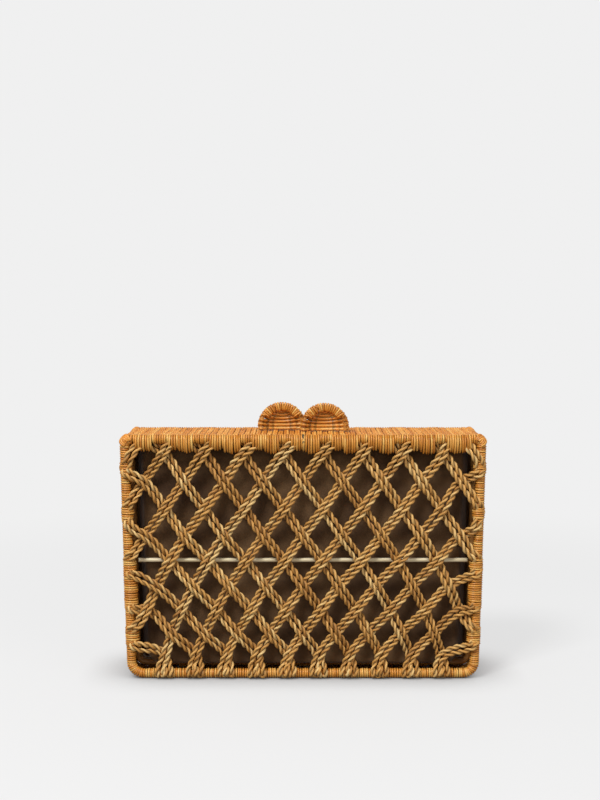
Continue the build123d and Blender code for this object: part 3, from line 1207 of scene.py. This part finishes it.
@dataclass
class WovenWall(HalfPart):
    """The close strands that run from the face hoop to the rim rod of one half, all round."""

    strand: float = 0.0021
    pitch: float = 0.0020
    face_end: float = 0.0241
    rim_setback: float = 0.00265
    rim_inset: float = 0.0050
    notch_half_width: float = 0.0072
    notch_reach: float = 0.0080
    pair_shift: float = 0.00018
    weave: float = 0.0007
    rows: int = 3
    tucked: tuple[Point, ...] = ((0.0006, -0.0031), (-0.0002, -0.0014))
    first_row: float = 0.0022
    last_row: float = 0.0015
    bend: float = 0.0006
    tail: float = 0.0026
    short_of_rim: float = 0.0004
    sway: float = 0.012
    drop: float = 0.00012
    draw: random.Random = field(default_factory=lambda: random.Random(37))

    def profile(self, end: float, phase: int) -> list[Vector]:
        """Points of one strand in a plane across the wall: Y away from the seam, Z out of the wall.

        Args:
            end: how near to the seam the strand comes, or 0 for a strand that bends round the rim rod.
            phase: 1 or -1, whether the strand rises or dips in the first row of the weave.

        Returns:
            The points, from the face to the seam, with the outer face at Z of 0.
        """
        radius = self.strand / 2
        last = end or self.rim_setback
        first = self.face_end - self.first_row
        points = [Vector((0, self.face_end + back, depth)) for back, depth in self.tucked]
        for row in range(self.rows + 1):
            place = first + (last + self.last_row - first) * row / self.rows
            rise = phase * self.weave * (1 if row % 2 == 0 else -1)
            points.append(Vector((0, place, rise - self.weave - radius)))
        if end > 0:
            return [*points, Vector((0, end, -radius - self.bend))]
        seam = self.plan.seam_gap + radius
        round_rod = Vector((0, seam + self.bend, -radius - self.bend))
        return [*points, round_rod, Vector((0, seam, -radius - self.tail))]

    def pattern(self, end: float, phase: int) -> Object:
        """One strand of the wall, along its profile."""
        points = [Vector((0, self.half.side * point.y, point.z)) for point in self.profile(end, phase)]
        strand = round_strand(points, self.strand / 2, 0.5)
        mesh = strand.data
        low = self.strand + 2 * self.weave
        # Painted shade: the crest value falls with depth below the outer face, so the finish darkens the
        # strand where it dips into the weave.
        crest = [min(1.0, max(0.0, (vertex.co.z + low) / low)) for vertex in mesh.vertices]
        set_values(mesh, "crest", "FLOAT", crest)
        return strand

    def build(self, finish: Shading) -> None:
        """Make the wall of the half."""
        whole, cut_back, notched = 0.0, self.rim_setback + self.short_of_rim, self.notch_reach
        patterns = {
            (end, phase): self.pattern(end, phase) for end in (whole, cut_back, notched) for phase in (-1, 1)
        }
        places = {key: [] for key in patterns}
        depth = Vector((0, 1, 0))
        for count, station in enumerate(self.plan.around(0.0, self.pitch, 2)):
            across = depth.cross(station.outward)
            shift = self.pair_shift * (1 if count % 2 == 0 else -1) if station.rail else 0.0
            place = station.place + across * shift
            end = whole
            if place.z < 2 * self.rim_inset:
                by_hinge = any(abs(place.x - x) < self.notch_half_width for x in HINGE_PLACES.values())
                end = notched if by_hinge else cut_back
            frame = frame_at(place, across, depth)
            sway = Matrix.Rotation(self.draw.uniform(-self.sway, self.sway), 4, "Z")
            drop = Matrix.Translation((0, 0, self.draw.uniform(-self.drop, 0.0)))
            phase = 1 if count // 2 % 2 == 0 else -1
            places[end, phase].append(frame @ drop @ sway)
        strands = []
        for key, pattern in patterns.items():
            strands += place_copies(pattern, places[key], self.draw)
        self.finish(strands, "wall_strands", finish, "wall")


# ---- The lining ----


@dataclass
class Lining(HalfPart):
    """The stiffened fabric tray that closes one half behind its lattice."""

    inset: float = 0.0092
    hem_inset: float = 0.0077
    front: float = 0.01835
    side_taper: float = 0.0060
    flare: float = 0.0011
    corner: float = 0.010
    edge: float = 0.003
    thickness: float = 0.0012
    notch_half_width: float = 0.0075
    slackness: float = 0.0012
    cloud_size: float = 0.05
    cloud_middle: float = 0.6
    hem_cuts: int = 24
    panel_columns: int = 24
    panel_rows: int = 18
    notch_gap: float = 0.00005
    corner_faces: int = 6
    edge_faces: int = 4

    def build(self, finish: Shading) -> None:
        """Make the lining of the half."""
        side = self.half.side
        depth = self.front - self.plan.seam_gap
        size = Vector((self.plan.length - 2 * self.inset, depth, self.plan.height - 2 * self.inset))
        deselect()
        bpy.ops.mesh.primitive_cube_add(
            size=1, location=(0, side * (self.plan.seam_gap + depth / 2), self.plan.height / 2), scale=size
        )
        tray = bpy.context.object
        tray.name = f"{self.half.value}_lining_cloth"
        bpy.ops.object.transform_apply(location=True, rotation=True, scale=True)
        outer = side * self.front
        middle = Vector((0, outer, self.plan.height / 2))
        select_vertices(tray, lambda place: abs(place.y - outer) < SAME_PLACE)
        widen = (1 - 2 * self.side_taper / size.x, 1, 1 + 2 * self.flare / size.z)
        bpy.ops.transform.resize(value=widen, center_override=middle)
        self.bevel_edges(tray, lambda a, b: abs(a.y - b.y) > depth / 2, self.corner, self.corner_faces)
        self.bevel_edges(
            tray,
            lambda a, b: max(abs(a.y - outer), abs(b.y - outer)) < SAME_PLACE,
            self.edge,
            self.edge_faces,
        )
        self.open_seam(tray)
        self.make_hem(tray)
        self.divide_panel(tray)
        self.slacken(tray)
        wall = tray.modifiers.new("cloth", "SOLIDIFY")
        wall.thickness = self.thickness
        wall.offset = -1
        apply_modifiers(tray)
        shade_smooth(tray, math.radians(50))
        dress(tray, finish, self.half.body, f"{self.half.value}_lining")

    def bevel_edges(
        self, tray: Object, wanted: Callable[[Vector, Vector], bool], width: float, segments: int
    ) -> None:
        """Round the edges that run where asked.

        Args:
            tray: the tray.
            wanted: tells from an edge's two ends whether it is rounded.
            width: the radius.
            segments: number of faces across the round.
        """
        select_vertices(tray, lambda place: False)
        bpy.ops.mesh.select_mode(type="EDGE")
        edit(False)
        places = [vertex.co.copy() for vertex in tray.data.vertices]
        for edge in tray.data.edges:
            edge.select = wanted(places[edge.vertices[0]], places[edge.vertices[1]])
        edit(True)
        bpy.ops.mesh.bevel(offset=width, segments=segments, profile=0.5, affect="EDGES")
        edit(False)

    def open_seam(self, tray: Object) -> None:
        """Take away the face at the seam."""
        limit = self.plan.seam_gap + SAME_PLACE
        select_vertices(tray, lambda place: abs(place.y) < limit)
        bpy.ops.mesh.select_mode(type="FACE")
        bpy.ops.mesh.delete(type="ONLY_FACE")
        edit(False)

    def make_hem(self, tray: Object) -> None:
        """Turn the open edge out to the rim rod, except beside the hinge lashings."""
        limit = self.plan.seam_gap + SAME_PLACE
        select_vertices(tray, lambda place: abs(place.y) < limit)
        middle = Vector((0, self.half.side * self.plan.seam_gap, self.plan.height / 2))
        widen = self.inset - self.hem_inset
        bpy.ops.mesh.subdivide(number_cuts=self.hem_cuts)
        bpy.ops.mesh.extrude_region_move()
        grow = (
            1 + widen / (self.plan.length / 2 - self.inset),
            1,
            1 + widen / (self.plan.height / 2 - self.inset),
        )
        bpy.ops.transform.resize(value=grow, center_override=middle)
        edit(False)
        for vertex in tray.data.vertices:
            by_hinge = any(abs(vertex.co.x - x) < self.notch_half_width for x in HINGE_PLACES.values())
            if by_hinge and vertex.co.z < self.inset:
                vertex.co.z = self.inset + self.notch_gap

    def divide_panel(self, tray: Object) -> None:
        """Divide the panel into a fine net for the cloth's unevenness."""
        outer = self.half.side * self.front
        wide, high = self.plan.length / self.panel_columns, self.plan.height / self.panel_rows
        left = -self.plan.length / 2
        cuts = [((left + step * wide, 0, 0), (1, 0, 0)) for step in range(1, self.panel_columns)]
        cuts += [((0, 0, step * high), (0, 0, 1)) for step in range(1, self.panel_rows)]
        for place, square in cuts:
            select_vertices(tray, lambda place: True)
            bpy.ops.mesh.bisect(plane_co=place, plane_no=square)
        edit(False)
        group = tray.vertex_groups.new(name="panel")
        chosen = [vertex.index for vertex in tray.data.vertices if abs(vertex.co.y - outer) < SAME_PLACE]
        group.add(chosen, 1.0, "REPLACE")

    def slacken(self, tray: Object) -> None:
        """Let the panel stand a little uneven, as stretched cloth does."""
        clouds = bpy.data.textures.new("uneven_cloth", "CLOUDS")
        clouds.noise_scale = self.cloud_size
        uneven = tray.modifiers.new("uneven", "DISPLACE")
        uneven.texture = clouds
        uneven.texture_coords = "LOCAL"
        uneven.vertex_group = "panel"
        uneven.strength = self.slackness
        uneven.mid_level = self.cloud_middle
        apply_modifiers(tray)


# ---- The clasp ----


@dataclass
class ClaspEar(HalfPart):
    """One half-round ear: a wound arch with strands that sag across it in a shallow cup."""

    width: float = 0.035
    height: float = 0.0204
    wound: float = 0.0048
    core: float = 0.0018
    pitch: float = 0.00165
    radial: float = 0.0018
    radial_spread: float = 58.0
    cup_core: float = 0.0023
    layer_gap: float = 0.0012
    hug: float = 0.0017
    offset: float = 0.0155
    front_depth: float = -0.0049
    back_depth: float = 0.0032
    cup: float = 0.0036
    strands: int = 6
    foot: float = 0.0002
    cup_top: float = 0.95
    low_sag: float = 0.0004
    high_sag: float = 0.0036
    stray: float = 0.0004
    across: tuple[float, ...] = (-1.0, -0.8, -0.55, -0.28, 0.0, 0.28, 0.55, 0.8, 1.0)
    jitter: Point = (-0.05, 0.06)
    tilt: float = 0.10
    draw: random.Random = field(default_factory=lambda: random.Random(53))

    @property
    def radius(self) -> float:
        """Radius of the arch's centre line."""
        return (self.width - self.wound) / 2

    @property
    def shoulder(self) -> float:
        """Height at which the arch turns round."""
        return self.plan.height + self.height - self.width / 2

    @property
    def centre(self) -> Vector:
        """Middle of the arch at its shoulder."""
        depth = self.front_depth if self.half is Half.FRONT else self.back_depth
        return Vector((-self.half.side * self.offset, depth, self.shoulder))

    def arch(self) -> list[tuple[Vector, Vector]]:
        """Places of the turns over the top of the arch, with the direction in to its middle."""
        found = []
        rise = self.shoulder - self.plan.height
        total = 2 * rise + math.pi * self.radius
        count = round(total / self.pitch)
        for turn in range(count):
            along = (turn + 0.5) / count * total - rise
            angle = math.pi - along / self.radius
            if abs(angle - math.pi / 2) > math.radians(self.radial_spread):
                continue
            inward = -Vector((math.cos(angle), 0, math.sin(angle)))
            found.append((self.centre - inward * self.radius, inward))
        return found

    def cup_strand(self, share: float, layer: int) -> Object:
        """One strand across the cup.

        Args:
            share: its height between the foot and the top of the cup, from 0 to 1.
            layer: 0 in front and 1 behind.

        Returns:
            The strand.
        """
        base = self.plan.height + self.foot + self.cup_core / 2
        end_height = base + share * (self.height - self.wound * self.cup_top)
        rise = max(0.0, end_height - self.shoulder)
        rod = math.sqrt(max(0.0, self.radius**2 - rise**2))
        around = 1 if layer else -1
        sag = self.low_sag + self.high_sag * share
        tilt = self.draw.uniform(-self.stray, self.stray)
        points = []
        for across in self.across:
            x = across * rod
            z = end_height - sag * (1 - across**2) + tilt * across
            apart = (x**2 + max(0.0, z - self.shoulder) ** 2) / self.radius**2
            y = self.cup * (1 - min(1.0, apart)) + layer * self.layer_gap
            y += around * self.hug * abs(across) ** 8
            points.append(Vector((self.centre.x + x, self.centre.y + y, z)))
        for end, way in ((0, -1), (len(points), 1)):
            points.insert(end, Vector((self.centre.x + way * (rod + self.hug), self.centre.y, end_height)))
        # The cup strand gets painted shade at its upper and lower sides, between the strands.
        return round_strand(points, self.cup_core / 2, self.draw.random(), Vector((0, 1, 0)))

    def build(self, finish: Shading) -> None:
        """Make the ear's winding and cup."""
        pattern = core_ring((self.wound - self.core) / 2, self.core, Vector((0, -self.radial, 0)))
        places = []
        for place, inward in self.arch():
            grow = 1 + self.draw.uniform(*self.jitter)
            tilt = Matrix.Rotation(self.draw.uniform(-self.tilt, self.tilt), 4, "X")
            frame = frame_at(place, Vector((0, 1, 0)), -inward)
            places.append(frame @ Matrix.Diagonal((grow, grow, 1, 1)) @ tilt)
        turns = place_copies(pattern, places, self.draw)
        last = self.strands - 1
        turns += [self.cup_strand(strand / last, 0) for strand in range(self.strands)]
        turns += [self.cup_strand((strand + 0.5) / last, 1) for strand in range(last)]
        self.finish(turns, "ear_strands", finish, "ear_winding")


# ---- Hinge and tie ----


@dataclass
class HingeLashing:
    """Turns of core round both rim rods, in which the front rod turns."""

    place: str
    x: float
    width: float = 0.012
    core: float = 0.0013
    turns: int = 9
    rod: float = 0.0025
    clearance: float = 0.00008
    rod_height: float = 0.0050
    setback: float = 0.00265
    draw: random.Random = field(default_factory=lambda: random.Random(61))

    def build(self, finish: Shading) -> None:
        """Make the lashing."""
        radius = self.rod + self.clearance + self.core / 2
        pattern = core_ring(radius, self.core, Vector((self.setback, 0, 0)), both_ways=True)
        places = []
        for turn in range(self.turns):
            x = self.x + ((turn + 0.5) / self.turns - 0.5) * self.width
            places.append(frame_at(Vector((x, 0, self.rod_height)), Vector((0, 1, 0)), Vector((0, 0, 1))))
        strands = place_copies(pattern, places, self.draw)
        name, node = f"hinge_turns_{self.place}", f"hinge_lashing_{self.place}"
        finish_strands(strands, name, finish, Half.BACK.body, node)


@dataclass
class RailTie:
    """The thin dark cord tied round the front top rail, with its small knot."""

    plan: FacePlan
    cord: float = 0.0007
    knot: float = 0.0008
    slack: float = 0.004
    knot_drop: float = 0.0022
    knot_samples: int = 9
    draw: random.Random = field(default_factory=lambda: random.Random(71))

    def build(self, finish: Shading) -> None:
        """Make the tie."""
        centre = Vector((0, -self.plan.rail_setback, self.plan.height - self.plan.inset))
        pattern = core_ring(self.plan.wound / 2 - self.cord / 2, self.cord, Vector((0, -self.slack, 0)))
        places = [
            frame_at(centre + Vector((x, 0, 0)), Vector((0, 1, 0)), Vector((0, 0, 1)))
            for x in (-self.cord * 0.6, self.cord * 0.6)
        ]
        loops = place_copies(pattern, places, self.draw)
        bow = []
        for sample in range(self.knot_samples):
            angle = sample / (self.knot_samples - 1) * FULL_TURN
            swing = Vector((math.cos(angle) * self.knot, -abs(math.sin(angle)) * self.knot * 0.5, 0))
            swing.z = math.sin(angle * 1.5) * self.knot
            bow.append(centre + Vector((0, -self.plan.inset - self.cord * 0.1, -self.knot_drop)) + swing)
        loops.append(round_strand(bow, self.cord / 2, 0.9))
        finish_strands(loops, "tie_cord", finish, Half.FRONT.body, "rail_tie")


# ---- Studio ----


@dataclass(frozen=True)
class Lamp:
    """A large soft lamp."""

    name: str
    place: Triple
    size: float
    power: float

    def build(self, target: Vector) -> None:
        """Add the lamp, facing its target."""
        light = bpy.data.lights.new(self.name, "AREA")
        light.shape = "SQUARE"
        light.size = self.size
        light.energy = self.power
        lamp = bpy.data.objects.new(self.name, light)
        lamp.location = self.place
        lamp.rotation_euler = (target - lamp.location).to_track_quat("-Z", "Y").to_euler()
        bpy.context.collection.objects.link(lamp)


@dataclass(frozen=True)
class Studio:
    """The pale floor, the soft light and the camera at the photograph's viewing angle."""

    backdrop: float = 0.871
    sky: float = 0.52
    floor_half: float = 6.0
    camera_place: Triple = (0.0, -0.856, 0.264)
    camera_pitch: float = 12.6
    lens: float = 52.74
    sensor: float = 36.0
    shift: Point = (-0.00375, 0.2175)

    def build(self) -> None:
        """Make the floor, world, lamps and camera."""
        deselect()
        bpy.ops.mesh.primitive_plane_add(size=2 * self.floor_half)
        floor = bpy.context.object
        floor.name = "studio_floor"
        floor.data.materials.append(FloorFinish(self.backdrop).build())
        self.make_world()
        target = Vector((0, 0, 0.09))
        Lamp("key_lamp", (-0.7, -1.1, 1.7), 0.5, 28.0).build(target)
        Lamp("fill_lamp", (1.2, -1.1, 0.9), 1.1, 5.0).build(target)
        self.make_camera()
        bpy.context.scene.view_settings.view_transform = "Standard"

    def make_world(self) -> None:
        """An even sky that lights the object, and a plain backdrop for the camera."""
        world = bpy.data.worlds.new("studio")
        world.use_nodes = True
        bpy.context.scene.world = world
        tree = world.node_tree
        tree.nodes.clear()
        path = tree.nodes.new("ShaderNodeLightPath")
        sky, plain = (tree.nodes.new("ShaderNodeBackground") for _ in range(2))
        sky.inputs["Color"].default_value = (*WHITE, 1)
        sky.inputs["Strength"].default_value = self.sky
        plain.inputs["Color"].default_value = (*[self.backdrop] * 3, 1)
        mix = tree.nodes.new("ShaderNodeMixShader")
        output = tree.nodes.new("ShaderNodeOutputWorld")
        tree.links.new(path.outputs["Is Camera Ray"], mix.inputs["Fac"])
        tree.links.new(sky.outputs[0], mix.inputs[1])
        tree.links.new(plain.outputs[0], mix.inputs[2])
        tree.links.new(mix.outputs[0], output.inputs["Surface"])

    def make_camera(self) -> None:
        """The camera, fitted to the photograph."""
        view = bpy.data.cameras.new("photo_camera")
        view.sensor_fit = "VERTICAL"
        view.sensor_height = self.sensor
        view.lens = self.lens
        view.shift_x, view.shift_y = self.shift
        camera = bpy.data.objects.new("photo_camera", view)
        camera.location = self.camera_place
        camera.rotation_euler = (math.radians(90 - self.camera_pitch), 0, 0)
        bpy.context.collection.objects.link(camera)
        bpy.context.scene.camera = camera


# ---- The whole bag ----


def make_finishes() -> dict[str, Shading]:
    """Make every finish of the bag.

    Returns:
        The finishes by the name of the record's slot.
    """
    core = ((172, 96, 22), (234, 156, 58), (255, 214, 124))
    wall = ((176, 98, 28), (228, 150, 58), (250, 196, 106))
    rope = ((156, 98, 36), (224, 166, 84), (255, 224, 156))
    thread = ((30, 26, 16), (58, 54, 38), (120, 122, 96))
    glossy, silk, rough, matt = (0.42, 0.12), (0.5, 0.05), (0.62, 0.05), (0.7, 0.0)
    finishes = (
        # The two numbers after the colours set the painted groove shade: its grey and the crest value where
        # it ends.
        StrandFinish("varnished_core", "rattan_winding", *core, 0.04, 0.84, (160.0, 1700.0), 1.4e-4, *glossy),
        StrandFinish(
            "varnished_wall_core", "woven_rattan", *wall, 0.03, 0.78, (160.0, 1500.0), 1.4e-4, *silk
        ),
        StrandFinish("twisted_seagrass", "seagrass_rope", *rope, 0.08, 0.92, (260.0, 2600.0), 2e-4, *rough),
        StrandFinish("dark_thread", "dark_cord", *thread, 0.4, 0.7, (900.0, 2600.0), 1e-4, *matt),
        CaneFinish("honey_cane", "cane_rod", (176, 112, 48), (214, 158, 88)),
        CaneFinish("ivory_cane", "pale_cane", (204, 184, 138), (244, 230, 194)),
        SuedeFinish("brushed_lining", "lining_fabric", (62, 37, 13), (92, 65, 36), (124, 94, 60)),
    )
    return {finish.slot: finish.build() for finish in finishes}


def dress_nodes(nodes: dict[str, Object], finishes: dict[str, Shading]) -> None:
    """Give each CAD node that stays in sight its finish.

    Args:
        nodes: the CAD nodes by name.
        finishes: the finishes by slot.
    """
    kinds = {"face_rod": "cane_rod", "rim_rod": "cane_rod", "ear_arch": "cane_rod", "crossbar": "pale_cane"}
    for half in Half:
        for kind, slot in kinds.items():
            node = nodes[f"{half.value}_{kind}"]
            for material_slot in node.material_slots:
                material_slot.material = finishes[slot].material


def main() -> None:
    """Build the bag's visible pieces round the frame."""
    logging.basicConfig(level=logging.INFO, format="%(name)s: %(message)s")
    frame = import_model()
    finishes = make_finishes()
    plan = FacePlan()
    Studio().build()
    dress_nodes(frame["nodes"], finishes)
    for half in Half:
        RopeLattice(plan, half).build(finishes["seagrass_rope"])
        RailWinding(plan, half).build(finishes["rattan_winding"])
        WovenWall(plan, half).build(finishes["woven_rattan"])
        Lining(plan, half).build(finishes["lining_fabric"])
        ClaspEar(plan, half).build(finishes["rattan_winding"])
    for place, x in HINGE_PLACES.items():
        HingeLashing(place, x).build(finishes["rattan_winding"])
    RailTie(plan).build(finishes["dark_cord"])
    deselect()


if __name__ == "__main__":
    main()
